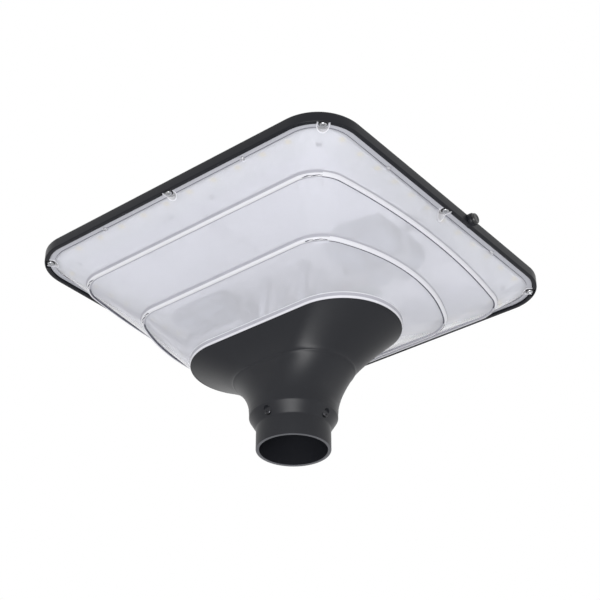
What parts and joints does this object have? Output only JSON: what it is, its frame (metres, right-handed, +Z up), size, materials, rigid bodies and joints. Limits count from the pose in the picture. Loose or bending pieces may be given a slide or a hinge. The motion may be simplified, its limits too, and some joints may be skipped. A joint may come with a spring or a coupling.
{
  "type": "solar yard light",
  "caption": "Pole-top solar light: a square black head over a frosted lens that steps down to an oval, on a cast neck with a round pole socket and set screws.",
  "frame": {"origin": "centre of the pole socket's mouth, at the bottom of the neck", "axes": "+Z up along the pole to the head, X along the long way of the neck's oval mouth, with the push button on the +X side"},
  "size_m": [0.407, 0.4, 0.217],
  "materials": {
    "housing": "satin black powder coat",
    "lens": "frosted polycarbonate with two clear steps",
    "steel": "plain stainless",
    "dark_steel": "black-coated steel",
    "rubber": "moulded",
    "white_sheet": "white reflective sheet",
    "board": "white solder mask",
    "chip": "yellow phosphor",
    "panel_glass": "clear tempered glass",
    "cell": "dark blue silicon",
    "backsheet": "white film",
    "battery": "blue shrink sleeve",
    "black_plastic": "moulded",
    "button": "moulded",
    "green_board": "green solder mask",
    "lead_red": "red insulation",
    "lead_white": "white insulation",
    "lead_black": "black insulation",
    "nylon": "white nylon"
  },
  "bodies": {
    "head": {"top_housing": "housing", "panel_glass": "panel_glass", "panel_cells": "cell", "panel_backsheet": "backsheet", "panel_seal": "rubber", "panel_lead": "lead_red", "panel_grommet": "rubber", "lens": "lens", "lens_seal": "rubber", "lens_screws": "dark_steel", "reflector_tray": "white_sheet", "led_board_left": "board", "led_board_right": "board", "led_chips_left": "chip", "led_chips_right": "chip", "board_screws": "steel", "led_leads": "lead_white", "neck": "housing", "neck_seal": "rubber", "neck_screws": "steel", "set_screws": "dark_steel", "support_posts": "steel", "post_screws": "steel", "battery_cradles": "black_plastic", "battery_cells": "battery", "battery_links": "steel", "battery_straps": "steel", "strap_screws": "steel", "battery_leads": "lead_black", "controller_board": "green_board", "controller_parts": "black_plastic", "controller_standoffs": "steel", "controller_screws": "steel", "lead_clips": "nylon", "switch_body": "black_plastic", "switch_seal": "rubber", "switch_lead": "lead_white"},
    "button": {"switch_button": "button"}
  },
  "joints": [
    {"name": "button_press", "type": "slide", "parent": "head", "child": "button", "axis": [-1, 0, 0], "range_m": [0, 0.0016], "stiffness_N_per_m": 900}
  ]
}
